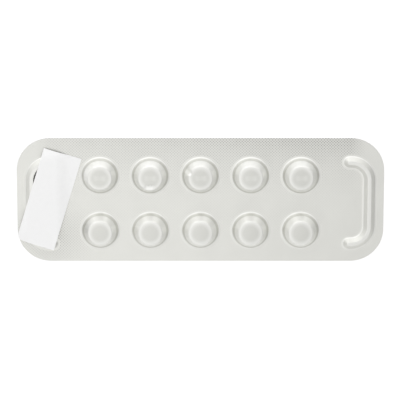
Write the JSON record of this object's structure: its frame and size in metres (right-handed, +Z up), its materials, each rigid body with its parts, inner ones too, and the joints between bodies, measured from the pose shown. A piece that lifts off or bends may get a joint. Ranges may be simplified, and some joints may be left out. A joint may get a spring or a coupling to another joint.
{
  "type": "blister pack of tablets",
  "caption": "Sealed foil blister strip with two rows of domed tablet pockets, a raised stiffening rib at each end and a blank paper label.",
  "frame": {"origin": "middle of the flat lidding face that the pack lies on", "axes": "+X along the pack towards the end with the bare rib, +Y across it towards the wider seal margin, +Z up out of the pockets"},
  "size_m": [0.122, 0.0422, 0.0042],
  "materials": {
    "aluminium_foil": "satin, knurled heat seal",
    "white_paper": "matt"
  },
  "bodies": {
    "root": {"blister_pack": "aluminium_foil", "paper_label": "white_paper"}
  },
  "joints": []
}
